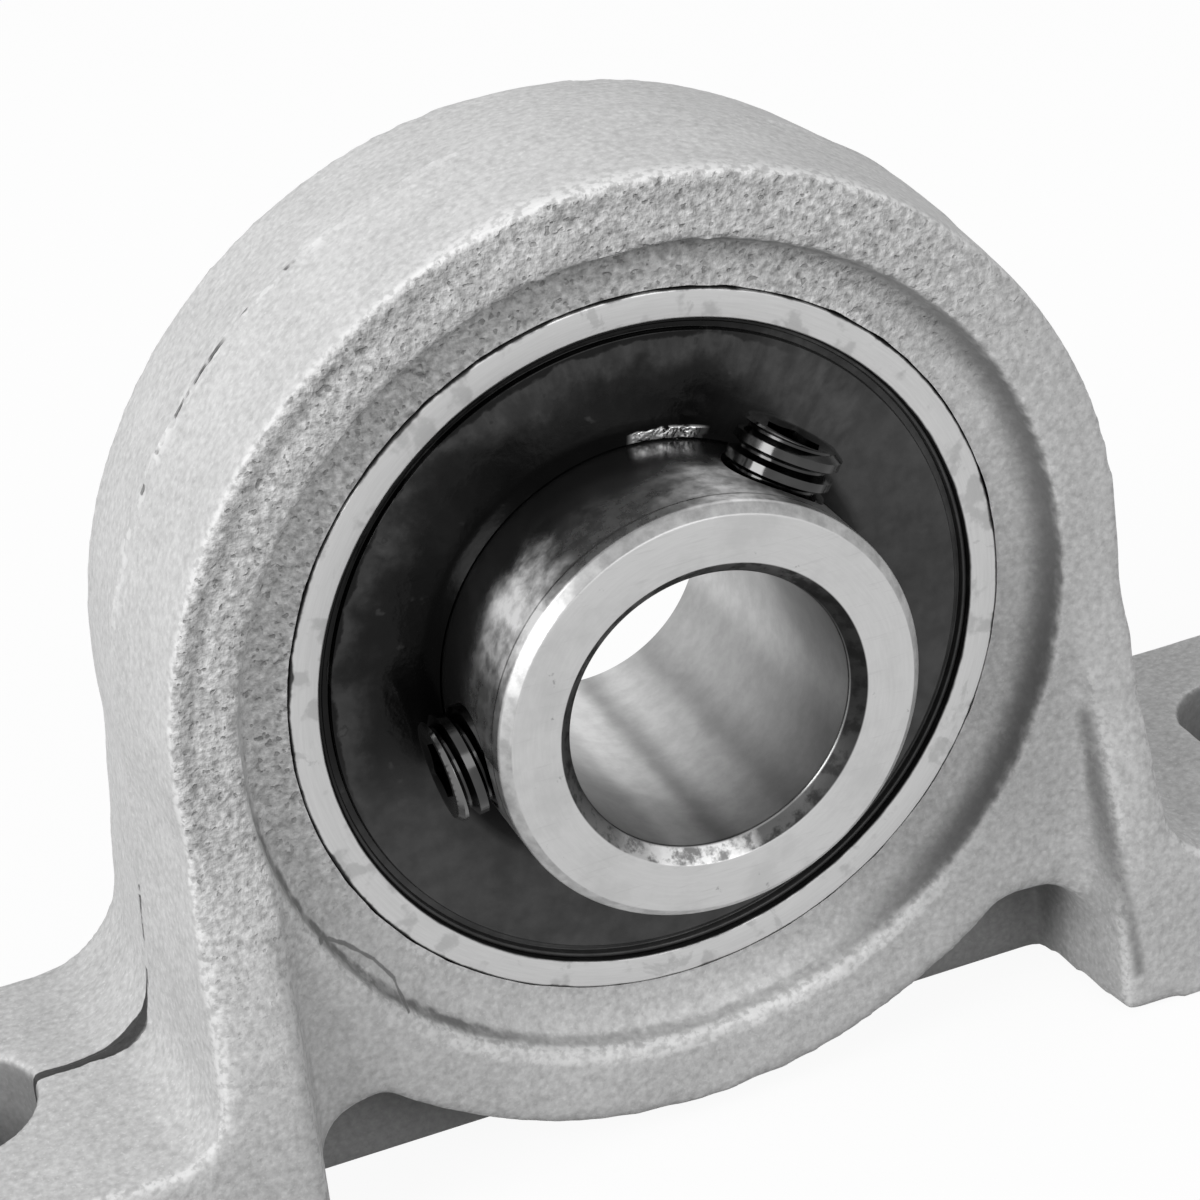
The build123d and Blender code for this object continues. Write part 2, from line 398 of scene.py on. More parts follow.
def strokeGap(tree, places, first, second):  # distance from a straight stroke on the front
    across, up = places["Across"], places["Up"]
    reach = Vector(second) - Vector(first)
    alongX = times(tree, minus(tree, across, first[0]), reach.x / reach.length_squared)
    share = calc(tree, "MULTIPLY_ADD", minus(tree, up, first[1]), reach.y / reach.length_squared,
                 alongX, clamp=True)
    return distance(tree, minus(tree, across, addScaled(tree, share, reach.x, first[0])),
                    minus(tree, up, addScaled(tree, share, reach.y, first[1])))


def strokesGap(tree, places, points):
    gaps = [strokeGap(tree, places, first, second) for first, second in zip(points, points[1:])]
    return joined(tree, "MINIMUM", gaps)


# Painted shadow in the seam where the two halves of the die met, on the arch and along the root of the left foot
parting = {
    "wobble": 0.24, "waveScale": 1100.0, "brokenScale": 1300.0, "line": (0.1, 0.05),
    "crack": (133, 139.5, 1), "crackBroken": (0.4, 0.54, 0.0, 0.85),
    "nicks": (121, 154, 2), "nicksBroken": (0.57, 0.64, 0.0, 0.7),
    "flankTop": (10.8, 10.2), "flankOut": (14, 14.2), "flankBroken": (0.44, 0.54, 0.0, 0.7),
    "rootHalf": (5.7, 6.9, 0.17, 0.051), "rootEdge": (0.0, -0.05), "rootTop": (7.8, 7.2),
    "rootOut": (14.2, 14.5), "pastHole": 3, "fainter": 0.3,
}


def makePartingLine(tree, places):
    place = objectPlace(tree)
    broken = speckle(tree, place, parting["brokenScale"], 2.0)
    wave = speckle(tree, place, parting["waveScale"], 3.0)
    off = unsigned(tree, shake(tree, places["Front"], wave, parting["wobble"]))
    up, out = places["Up"], times(tree, places["Across"], -1)
    crack = times(tree, between(tree, places["Turn"], *parting["crack"]),
                  fade(tree, broken, *parting["crackBroken"]))
    nicks = times(tree, between(tree, places["Turn"], *parting["nicks"]),
                  fade(tree, broken, *parting["nicksBroken"]))
    flank = times(tree, fade(tree, up, *parting["flankTop"]), fade(tree, out, *parting["flankOut"]),
                  fade(tree, broken, *parting["flankBroken"]))
    onArch = times(tree, fade(tree, off, *parting["line"]), most(tree, crack, nicks, flank))
    wide = fade(tree, minus(tree, off, fade(tree, up, *parting["rootHalf"])), *parting["rootEdge"])
    pastHole = fade(tree, out, holeMiddle, holeMiddle + parting["pastHole"], 1.0, parting["fainter"])
    onFoot = times(tree, wide, fade(tree, out, *parting["rootOut"], 0.0, pastHole),
                   fade(tree, up, *parting["rootTop"]))
    return most(tree, onArch, onFoot)


# Painted shade in the steps, the cove and the strip of the front, along the burr and the crease, in the notch
# under the arch and round the foot holes. Strokes are (across, up) in millimetres
shades = {
    "front": (2.5, 3.0), "ragged": 0.2,
    "step": (11.92, 0.126, 0.027), "stepBroken": (0.35, 0.6, 0.6, 1.0),
    "stepTurns": ((214, 20, 38, 0.8), (95, 35, 75, 0.42), (285, 50, 75, 0.42)),
    "coveStart": (11.1, 11.95), "coveEnd": (12.17, 11.97), "coveTurn": (-8, 32, 75, 0.85),
    "strip": (13.4, 0.3, 0.06), "stripTurn": (150, 22, 45, 0.22),
    "burr": ((-10.69, 9.53), (-9.92, 8.88), (-9.16, 8.07), (-8.68, 7.31), (-8.58, 6.57)),
    "burrRagged": 0.1, "burrWidth": (0.07, 0.028, 0.0, 0.75),
    "crease": ((12.42, 9.8), (12.69, 5.8), (13.2, 1.45)), "creaseWidth": (0.32, 0.0, 0.0, 0.6),
    "notchDepth": (3.1, 2.5), "notchTop": (4.6, 3.2, 0.0, 0.62), "notchSide": (12.8, 11.9),
    "holeEdge": (0.12, 0.02), "holeGrime": 0.72,
}


def makeCastShade(tree, places, ragged):  # painted shade, 0 where none is painted
    radius = shake(tree, places["Radius"], ragged, shades["ragged"])
    turns = [around(tree, places, *turn) for turn in shades["stepTurns"]]
    step = times(tree, near(tree, radius, *shades["step"]), most(tree, *turns),
                 fade(tree, ragged, *shades["stepBroken"]))
    cove = times(tree, fade(tree, radius, *shades["coveStart"]), fade(tree, radius, *shades["coveEnd"]),
                 around(tree, places, *shades["coveTurn"]))
    strip = times(tree, near(tree, radius, *shades["strip"]), around(tree, places, *shades["stripTurn"]))
    gap = shake(tree, strokesGap(tree, places, shades["burr"]), ragged, shades["burrRagged"])
    burr = fade(tree, gap, *shades["burrWidth"])
    crease = fade(tree, strokesGap(tree, places, shades["crease"]), *shades["creaseWidth"])
    onFront = times(tree, most(tree, step, cove, strip, burr, crease),
                    fade(tree, places["Front"], *shades["front"]))
    aside = unsigned(tree, places["Across"])
    notch = times(tree, fade(tree, places["Front"], *shades["notchDepth"]),
                  fade(tree, places["Up"], *shades["notchTop"]), fade(tree, aside, *shades["notchSide"]))
    holeGap = distance(tree, minus(tree, aside, holeMiddle), places["Front"])
    hole = fadeFrom(tree, holeGap, holeRadius, shades["holeEdge"], shades["holeGrime"])
    return most(tree, onFront, notch, hole)


# Bare metal on the edges of the casting, with a painted highlight on them
wearAndHighlight = {
    "rounded": ((0.25, 0.55), (0.97, 0.75)), "roundedPoint": (0.5, 0.509),
    "edgeFacing": (0.12, 0.2), "edgeTop": (22, 20), "edgePoint": (0.514, 0.56),
    "aboveFront": (3.55, 4.35, 0.0, 0.8), "aboveTurn": (86, 16, 34), "aboveFacing": (0.6, 0.3),
    "grain": (0.38, 0.6, 0.1, 1.0), "middle": (1.5, 2.5),
    "lightTop": (84, 14, 42), "lightLeft": (165, 18, 45, 0.4), "light": (0.5, 1.15),
}


def makeWornAndLitEdges(tree, places, grain, facing, point):
    rounded = times(tree, *[fade(tree, facing, *row) for row in wearAndHighlight["rounded"]],
                    fade(tree, point, *wearAndHighlight["roundedPoint"]))
    edges = times(tree, fade(tree, point, *wearAndHighlight["edgePoint"]),
                  most(tree, fade(tree, facing, *wearAndHighlight["edgeFacing"]),
                       fade(tree, places["Up"], *wearAndHighlight["edgeTop"])))
    # a painted highlight on the side just above the top edge of the arch
    above = times(tree, fade(tree, places["Front"], *wearAndHighlight["aboveFront"]),
                  around(tree, places, *wearAndHighlight["aboveTurn"]), fade(tree, facing, *wearAndHighlight["aboveFacing"]))
    # the painted highlight is stronger where the light falls from the top and from the left
    lit = most(tree, around(tree, places, *wearAndHighlight["lightTop"]), around(tree, places, *wearAndHighlight["lightLeft"]))
    worn = times(tree, most(tree, edges, above, rounded), fade(tree, grain["Height"], *wearAndHighlight["grain"]),
                 fade(tree, unsigned(tree, places["Front"]), *wearAndHighlight["middle"]))
    return calc(tree, "MULTIPLY", worn, ease(tree, lit, *wearAndHighlight["light"]), clamp=True)


# Painted highlight and wear on the ridges beside the steps of the front
ridgeWearAndHighlights = {
    "rim": (12.3, 0.27, 0.08), "rimTurn": (268, 26, 52),
    "leg": ((-12.0, 12.8), (-11.82, 10.5), (-11.85, 7.5), (-11.95, 2.9)), "legWidth": (0.28, 0.05, 0.0, 0.6),
    "front": (3.7, 4.1), "ragged": (0.38, 0.56, 0.3, 0.9), "grain": (0.36, 0.62, 0.35, 1.0),
}


def makeRidgeWearAndHighlights(tree, places, grain, ragged):
    rim = times(tree, near(tree, places["Radius"], *ridgeWearAndHighlights["rim"]), around(tree, places, *ridgeWearAndHighlights["rimTurn"]))
    leg = fade(tree, strokesGap(tree, places, ridgeWearAndHighlights["leg"]), *ridgeWearAndHighlights["legWidth"])
    return times(tree, most(tree, rim, leg), fade(tree, places["Front"], *ridgeWearAndHighlights["front"]),
                 fade(tree, ragged, *ridgeWearAndHighlights["ragged"]), fade(tree, grain["Height"], *ridgeWearAndHighlights["grain"]))


alloy = {
    "side": 0.595, "face": 0.585, "edge": 0.82, "grime": 0.12, "pit": 0.22, "crack": 0.02, "specular": 0.25,
    "grains": 5.6, "raggedScale": 2400.0, "flat": (0.55, 0.85), "low": (3.0, 16.0, 0.84, 1.0),
    "coarse": (120, 50, 108), "sideDepth": 0.38, "faceDepth": (0.45, 1.0), "swing": 1.5,
    "tone": (0.3, 0.7, 0.96, 1.035), "pitShare": 0.65, "sparkShare": 0.25, "crackShare": 0.95,
    "hollow": (0.487, 0.43, 0.0, 0.7), "beside": (0.0, 0.5, 0.15), "besideTurn": (142, 22, 34),
    "besideBroken": (0.5, 0.6, 0.0, 0.6), "roughness": (0.6, 0.35), "pitRelief": -0.35, "crackRelief": -2.0,
    "bump": 0.07,
}


def makeCastAlloy():
    material, tree, shader = startMaterial("castAlloy", 0.0)
    places = useGroup(tree, borePlaces)
    grain = useGroup(tree, castGrain, Grains=alloy["grains"])
    ragged = speckle(tree, objectPlace(tree), alloy["raggedScale"], 2.0)
    geometry = addNode(tree, "NewGeometry").outputs
    facing = unsigned(tree, split(tree, geometry["Normal"])[1])
    point = geometry["Pointiness"]
    flat = fade(tree, facing, *alloy["flat"])
    coarse = around(tree, places, *alloy["coarse"])
    depth = ease(tree, flat, alloy["sideDepth"], ease(tree, coarse, *alloy["faceDepth"]))
    swing = times(tree, minus(tree, grain["Height"], 0.5), depth)
    low = ease(tree, flat, fade(tree, places["Up"], *alloy["low"]), 1.0)
    slow = times(tree, low, fade(tree, grain["Tone"], *alloy["tone"]))
    mottled = addScaled(tree, swing, alloy["swing"], slow)
    # the sand's pits are darkened with painted shade, and the bump cuts them in
    pits = times(tree, grain["Pits"], coarse, flat)
    # edge wear together with a painted highlight on the edges
    worn = makeWornAndLitEdges(tree, places, grain, facing, point)
    # painted highlight and wear on the ridges beside the steps
    bright = makeRidgeWearAndHighlights(tree, places, grain, ragged)
    # painted shade: darker in the hollows found by pointiness, and in the steps, notch and foot holes of the front
    hollow = most(tree, fade(tree, point, *alloy["hollow"]), makeCastShade(tree, places, ragged))
    beside = times(tree, near(tree, places["Front"], *alloy["beside"]),
                   around(tree, places, *alloy["besideTurn"]), fade(tree, ragged, *alloy["besideBroken"]))
    # painted shadow in the seam where the die halves met; the bump also cuts it in
    crack = makePartingLine(tree, places)
    tone = mix(tree, flat, alloy["side"], alloy["face"])
    colour = addNode(tree, "VectorMath", {"operation": "SCALE"}, i0=tone, Scale=mottled).outputs[0]
    # sparks lighten the colour as painted glints
    for amount, layer in ((times(tree, pits, alloy["pitShare"]), "pit"),
                          (times(tree, grain["Sparks"], alloy["sparkShare"]), "edge"),
                          (worn, "edge"), (bright, "edge"), (hollow, "grime"), (beside, "edge"),
                          (times(tree, crack, alloy["crackShare"]), "crack")):
        colour = mix(tree, amount, colour, alloy[layer])
    plug(tree, colour, shader["Base Color"])
    plug(tree, ease(tree, grain["Sparks"], *alloy["roughness"]), shader["Roughness"])
    plug(tree, alloy["specular"], shader["Specular IOR Level"])
    relief = addScaled(tree, pits, alloy["pitRelief"], times(tree, grain["Height"], depth, depth))
    addBump(tree, shader, addScaled(tree, crack, alloy["crackRelief"], relief), alloy["bump"])
    return material


ground = {
    "lines": 16, "broken": 0.12, "patches": 0.8, "cover": 0.4, "dirtScale": 1300.0,
    "tone": (0.3, 0.7), "dull": 0.5, "fresh": 0.55, "film": 0.26, "filmShare": 0.35,
    "stain": 0.3, "stains": (0.54, 0.66, 0.0, 0.5), "gap": 0.015, "gapShare": 0.9,
    "rimRagged": 0.26, "rim": (10.37, 10.44), "seatRagged": 0.1, "seat": (0.07, 0),
    "roughness": (0.2, 0.8, 0.36, 0.46), "bump": 0.0015,
}


def makeGroundSteel():
    material, tree, shader = startMaterial("groundSteel", 1.0)
    places = useGroup(tree, borePlaces)
    lines = useGroup(tree, grindLines, Lines=ground["lines"], Broken=ground["broken"])["Lines"]
    film = useGroup(tree, greaseFilm, Patches=ground["patches"], Cover=ground["cover"])["Film"]
    dirt = speckle(tree, objectPlace(tree), ground["dirtScale"], 4.0)
    rim = fade(tree, shake(tree, places["Radius"], dirt, ground["rimRagged"]), *ground["rim"])
    seat = shake(tree, places["Radius"], dirt, ground["seatRagged"])
    seat = fadeFrom(tree, seat, seatRadius, ground["seat"])
    colour = mix(tree, fade(tree, lines, *ground["tone"]), ground["dull"], ground["fresh"])
    colour = mix(tree, times(tree, film, ground["filmShare"]), colour, ground["film"])
    colour = mix(tree, fade(tree, dirt, *ground["stains"]), colour, ground["stain"])
    colour = mix(tree, times(tree, most(tree, rim, seat), ground["gapShare"]), colour, ground["gap"])
    plug(tree, colour, shader["Base Color"])
    plug(tree, fade(tree, lines, *ground["roughness"]), shader["Roughness"])
    addBump(tree, shader, lines, ground["bump"])
    return material


# Painted reflections and highlight streaks: brightness by the turn round the bore, in degrees
paintedSheen = {
    "sleeve": ((40, 0.35), (62, 0.35), (72, 0.7), (80, 0.85), (88, 0.5), (98, 0.25), (120, 0.25), (129, 0.6),
               (137, 1.0), (144, 1.0), (152, 0.6), (165, 0.3), (190, 0.2), (212, 0.3)),
    "bore": ((-150, 0.35), (-138, 0.45), (-118, 0.65), (-108, 1.0), (-99, 0.9), (-90, 0.42), (-79, 0.8),
             (-70, 0.68), (-60, 0.38), (-46, 0.56), (-30, 0.5), (-15, 0.72), (2, 0.5), (24, 0.35),
             (50, 0.25)),
    "mouth": ((-180, 0.15), (-140, 0.2), (-126, 0.5), (-112, 1.0), (-92, 0.9), (-84, 0.5), (-76, 0.1),
              (-40, 0.03), (0, 0.02), (35, 0.03), (60, 0.2), (120, 0.3), (180, 0.15)),
    "end": ((-180, 0.62), (-90, 0.75), (0, 0.6), (60, 0.6), (90, 0.5), (112, 0.4), (128, 0.6), (138, 0.88),
            (150, 0.88), (162, 0.7), (180, 0.62)),
}
turned = {
    "lines": 14, "broken": 0.1, "blurScale": 620.0, "smudgeScale": 1700.0, "drift": 24.0, "boreDrift": 7.0,
    "onSleeve": (-0.06, -0.02), "onEnd": (-0.01, 0.03), "inMouth": (0.02, -0.03), "inBore": (0.06, 0.01),
    "tone": (0.3, 0.7), "dull": 0.51, "fresh": 0.54, "scratch": 0.35, "scratchShare": 0.2,
    "stain": 0.42, "stains": (0.45, 0.68, 0.0, 0.5), "spot": 0.2, "spots": (0.34, 0.28, 0.0, 0.6),
    "mottle": (0.3, 0.7, 0.72, 1.2), "boreMottle": (0.3, 0.7, 0.88, 1.08),
    "mouthMottle": (0.38, 0.56, 0.3, 1.15),
    "sealDrift": 2.0, "nearSeal": (4.0, 5.9, 0.12, 1.0), "ringLine": (6.98, 0.05, 0.02, 1.0, 0.6),
    "boreDepth": (6.5, -2.5, 0.6, 1.1),
    "endTones": (0.05, 0.6), "sleeveTones": (0.1, 0.8), "mouthTones": (0.01, 0.7), "boreTones": (0.06, 0.64),
    "faceRough": 0.42, "endRough": 0.5, "sleeveRough": (0.2, 0.5), "boreRough": 0.3,
    "sleeveMetal": (0.1, 0.9, 0.95, 0.3), "endRelief": 3.0, "bump": 0.0015,
}


def makeTurnedSteel():
    material, tree, shader = startMaterial("turnedSteel", 1.0)
    places = useGroup(tree, borePlaces)
    radius = places["Radius"]
    lines = useGroup(tree, grindLines, Lines=turned["lines"], Broken=turned["broken"])
    place = objectPlace(tree)
    blur = speckle(tree, place, turned["blurScale"], 5.0, 0.6)
    smudge = speckle(tree, place, turned["smudgeScale"], 4.0, 0.65)
    off = minus(tree, blur, 0.5)
    turn = addScaled(tree, off, turned["drift"], places["Turn"])
    boreTurn = addScaled(tree, off, turned["boreDrift"], places["Turn"])
    onSleeve = fadeFrom(tree, radius, sleeveRadius, turned["onSleeve"])
    onEnd = fadeFrom(tree, radius, sleeveRadius - rings["endChamfer"], turned["onEnd"])
    inMouth = fadeFrom(tree, radius, boreRadius + rings["boreChamfer"], turned["inMouth"])
    inBore = fadeFrom(tree, radius, boreRadius, turned["inBore"])
    mottle = fade(tree, smudge, *turned["mottle"])
    nearSeal = fade(tree, addScaled(tree, off, turned["sealDrift"], places["Front"]), *turned["nearSeal"])
    # sleeve, bore, mouth and end carry painted reflections and highlight streaks by turn; on the sleeve they fade
    # towards the seal and dim along a fine groove line, in the bore they dim towards the front
    sleeve = times(tree, bands(tree, turn, paintedSheen["sleeve"]), mottle, nearSeal,
                   near(tree, places["Front"], *turned["ringLine"]))
    bore = times(tree, bands(tree, boreTurn, paintedSheen["bore"]), fade(tree, smudge, *turned["boreMottle"]),
                 fade(tree, places["Front"], *turned["boreDepth"]))
    mouth = times(tree, bands(tree, turn, paintedSheen["mouth"]), fade(tree, smudge, *turned["mouthMottle"]))
    end = times(tree, bands(tree, turn, paintedSheen["end"]), mottle)
    colour = mix(tree, fade(tree, lines["Lines"], *turned["tone"]), turned["dull"], turned["fresh"])
    scratches = times(tree, lines["Scratches"], turned["scratchShare"])
    colour = mix(tree, scratches, colour, turned["scratch"])
    colour = mix(tree, fade(tree, blur, *turned["stains"]), colour, turned["stain"])
    colour = mix(tree, fade(tree, smudge, *turned["spots"]), colour, turned["spot"])
    for mask, sheenThere, tones in ((onEnd, end, "endTones"), (onSleeve, sleeve, "sleeveTones"),
                                    (inMouth, mouth, "mouthTones"), (inBore, bore, "boreTones")):
        colour = mix(tree, mask, colour, mix(tree, sheenThere, *turned[tones]))
    plug(tree, colour, shader["Base Color"])
    rough = mix(tree, onEnd, turned["faceRough"], turned["endRough"])
    rough = mix(tree, onSleeve, rough, mix(tree, sleeve, *turned["sleeveRough"]))
    rough = mix(tree, inBore, rough, turned["boreRough"])
    plug(tree, rough, shader["Roughness"])
    # Metallic drops where the painted reflection on the sleeve is bright, so those patches read as light colour
    bare = mix(tree, onSleeve, 1.0, fade(tree, sleeve, *turned["sleeveMetal"]))
    plug(tree, bare, shader["Metallic"])
    relief = addScaled(tree, smudge, times(tree, onEnd, turned["endRelief"]), lines["Lines"])
    addBump(tree, shader, relief, turned["bump"])
    return material


rubber = {
    "dry": (0.0264, 0.0336), "wet": 0.003, "bead": 0.75, "grains": 4.0, "dryTone": (0.3, 0.8),
    "smearScale": 420.0, "blobScale": 1500.0, "innerDrift": 4.0, "inner": (9.7, 7.9),
    "rimDrift": 1.2, "rim": (-0.55, -0.4), "thinnest": 0.35, "filmTurn": (128, 48, 82),
    "lip": (0.9, 0.6), "lipShare": 0.6, "lipTurn": (128, 90, 130), "spots": (0.6, 0.68, 0.0, 0.6),
    "glints": (0.66, 0.74, 0.0, 0.35), "glintCoat": 1.5,
    "beadReach": (0.5, 0.38), "beadTurn": (80, 7, 11), "beadBlobs": (0.44, 0.5), "beadFront": (0.0, 0.5),
    "coat": (0.66, 0.06), "coatBlobs": (0.32, 0.66, 0.72, 1.12), "coatSmear": (0.35, 0.6, 0.8, 1.1),
    "streakTurn": 0.32, "streakRadius": 0.9, "streaks": (0.36, 0.64, 0.6, 1.35), "streakPlace": (95, 40, 70),
    "coatRoughness": 0.25, "specular": 0.12, "roughness": (0.5, 0.16),
    "blobRelief": (0.15, 1.0), "grainRelief": 0.1, "wetRelief": 0.25, "beadRelief": 12.0, "bump": 0.03,
}


def makeSealRubber():
    material, tree, shader = startMaterial("sealRubber", 0.0)
    places = useGroup(tree, borePlaces)
    radius = places["Radius"]
    grain = useGroup(tree, castGrain, Grains=rubber["grains"])["Height"]
    place = objectPlace(tree)
    smear = speckle(tree, place, rubber["smearScale"], 5.0, 0.6)
    blobs = speckle(tree, place, rubber["blobScale"], 3.0)
    off = minus(tree, smear, 0.5)
    side = around(tree, places, *rubber["filmTurn"])
    inner = fade(tree, addScaled(tree, off, rubber["innerDrift"], radius), *rubber["inner"])
    rim = fadeFrom(tree, addScaled(tree, off, rubber["rimDrift"], radius), seatRadius, rubber["rim"])
    film = times(tree, most(tree, inner, rim, rubber["thinnest"]), side)
    lip = times(tree, fadeFrom(tree, radius, sleeveRadius, rubber["lip"], rubber["lipShare"]),
                around(tree, places, *rubber["lipTurn"]))
    wet = most(tree, film, lip, times(tree, fade(tree, blobs, *rubber["spots"]), side))
    # a painted glint on a grease blob beside the sleeve, given as light metallic colour; its blobs also raise the
    # bump
    bead = times(tree, fadeFrom(tree, radius, sleeveRadius, rubber["beadReach"]),
                 around(tree, places, *rubber["beadTurn"]), fade(tree, blobs, *rubber["beadBlobs"]),
                 fade(tree, places["Front"], *rubber["beadFront"]))
    colour = mix(tree, fade(tree, grain, *rubber["dryTone"]), *rubber["dry"])
    colour = mix(tree, wet, colour, rubber["wet"])
    plug(tree, mix(tree, bead, colour, rubber["bead"]), shader["Base Color"])
    lay = addNode(tree, "CombineXYZ", X=times(tree, places["Turn"], rubber["streakTurn"]),
                  Y=times(tree, radius, rubber["streakRadius"])).outputs[0]
    streaks = fade(tree, speckle(tree, lay, 1.0, 4.0, 0.6), *rubber["streaks"])
    coat = times(tree, ease(tree, wet, *rubber["coat"]), fade(tree, blobs, *rubber["coatBlobs"]),
                 fade(tree, smear, *rubber["coatSmear"]),
                 ease(tree, around(tree, places, *rubber["streakPlace"]), 1.0, streaks))
    glints = times(tree, fade(tree, blobs, *rubber["glints"]), side)
    coat = calc(tree, "MULTIPLY_ADD", glints, rubber["glintCoat"], coat, clamp=True)
    plug(tree, coat, shader["Coat Weight"])
    plug(tree, rubber["coatRoughness"], shader["Coat Roughness"])
    plug(tree, rubber["specular"], shader["Specular IOR Level"])
    plug(tree, bead, shader["Metallic"])
    plug(tree, ease(tree, most(tree, wet, bead), *rubber["roughness"]), shader["Roughness"])
    relief = addScaled(tree, grain, rubber["grainRelief"],
                       times(tree, blobs, ease(tree, side, *rubber["blobRelief"])))
    relief = addScaled(tree, wet, rubber["wetRelief"], relief)
    relief = addScaled(tree, times(tree, bead, blobs), rubber["beadRelief"], relief)
    addBump(tree, shader, relief, rubber["bump"])
    return material


blackened = {"oilScale": 1100.0, "oil": (0.015, 0.07), "worn": 0.35, "wornPoint": (0.53, 0.64, 0.0, 0.35),
             "roughness": (0.35, 0.65, 0.1, 0.26), "bump": 0.02}


def makeBlackenedScrew():
    material, tree, shader = startMaterial("blackenedScrew", 1.0)
    oil = speckle(tree, objectPlace(tree), blackened["oilScale"], 2.0)
    point = addNode(tree, "NewGeometry").outputs["Pointiness"]
    oiled = mix(tree, oil, *blackened["oil"])
    colour = mix(tree, fade(tree, point, *blackened["wornPoint"]), oiled, blackened["worn"])
    plug(tree, colour, shader["Base Color"])
    plug(tree, fade(tree, oil, *blackened["roughness"]), shader["Roughness"])
    addBump(tree, shader, oil, blackened["bump"])
    return material


# Steels of the pieces inside: darker and lighter tone, and roughness
plainSteels = {
    "stiffener_steel": ("stiffenerSteel", 0.32, 0.5, 0.4),
    "cage_steel": ("cageSteel", 0.3, 0.55, 0.3),
    "ball_steel": ("ballSteel", 0.6, 0.75, 0.06),
}
plain = {"patches": 1.0, "cover": 0.5, "oiled": 0.6, "bump": 0.003}


def makePlainSteel(name, low, high, roughness):
    material, tree, shader = startMaterial(name, 1.0)
    film = useGroup(tree, greaseFilm, Patches=plain["patches"], Cover=plain["cover"])
    plug(tree, mix(tree, film["Film"], high, low), shader["Base Color"])
    plug(tree, ease(tree, film["Film"], roughness, roughness * plain["oiled"]), shader["Roughness"])
    addBump(tree, shader, film["Height"], plain["bump"])
    return material


castAlloyFinish = makeCastAlloy()
groundSteelFinish = makeGroundSteel()
turnedSteelFinish = makeTurnedSteel()
sealRubberFinish = makeSealRubber()
blackenedFinish = makeBlackenedScrew()
hiddenFinishes = {slot: makePlainSteel(*steel) for slot, steel in plainSteels.items()}
print("materials ready")

# Cast housing: the solid's skin, meshed evenly, softened and roughened like a casting
casting = {
    "voxel": 0.2, "softening": 7, "linePitch": 0.09,
    "legSoftening": 14, "legInside": 10.8, "legOutside": 14.6, "legTop": 10.5,
    "lowerSoftening": 8, "lowerFrom": 0.5, "lowerTo": 7, "lowerReach": 12, "frontFrom": 3.2,
    "plugRadius": 10.9, "plugHalf": 3.42, "seatGap": 0.03, "seatRough": 0.05, "seatBumps": 1.3,
    "wave": ((0.28, 0.04), (0.9, 0.008), (2.4, 0.005)),  # bumps per mm, and height in mm
    "faceRough": (3.2, 0.02), "faceFacing": 0.7, "faceShift": (7, 3, 5),
    "stripRadius": 13.25, "stripWidth": 0.3, "stripDepth": 0.07, "stripFrom": 60, "stripTo": 200,
    "stripEnds": 25, "stripFacing": 0.4, "stripAbove": 8, "stripUneven": (0.8, 0.6, 0.9),
    "flashHeight": 0.09, "flashOutside": 13.6, "flashAbove": 5.2, "flashUneven": (0.35, 1.2, 0.12),
    "flatFoot": 0.3,
}


def skinPush(place, facing):  # how far one point of the casting moves out
    radius = math.hypot(place.x, place.z - axisHeight)
    turn = math.degrees(math.atan2(place.z - axisHeight, place.x)) % 360
    push = sum(height * noise.noise(place * rate) for rate, height in casting["wave"])
    if facing > casting["faceFacing"]:
        rate, height = casting["faceRough"]
        push += height * noise.noise(place * rate + Vector(casting["faceShift"]))
    if facing > casting["stripFacing"] and place.z > casting["stripAbove"]:
        side = min(turn - casting["stripFrom"], casting["stripTo"] - turn) / casting["stripEnds"]
        fall = (radius - casting["stripRadius"]) / casting["stripWidth"]
        usual, swing, rate = casting["stripUneven"]
        uneven = usual + swing * noise.noise(place * rate)
        push -= casting["stripDepth"] * uneven * max(0, min(1, side)) * math.exp(-fall * fall)
    if abs(place.y) < 0.01 and radius > casting["flashOutside"] and place.z > casting["flashAbove"]:
        usual, swing, rate = casting["flashUneven"]
        uneven = usual + swing * noise.noise(Vector((turn * rate, 2, 0)))
        push += casting["flashHeight"] * max(0.0, uneven)
    return push if place.z > casting["flatFoot"] else 0.0


def roughenCasting(bm):
    bm.normal_update()
    pushes = [skinPush(vert.co, abs(vert.normal.y)) for vert in bm.verts]
    for vert, push in zip(bm.verts, pushes):
        vert.co += vert.normal * push


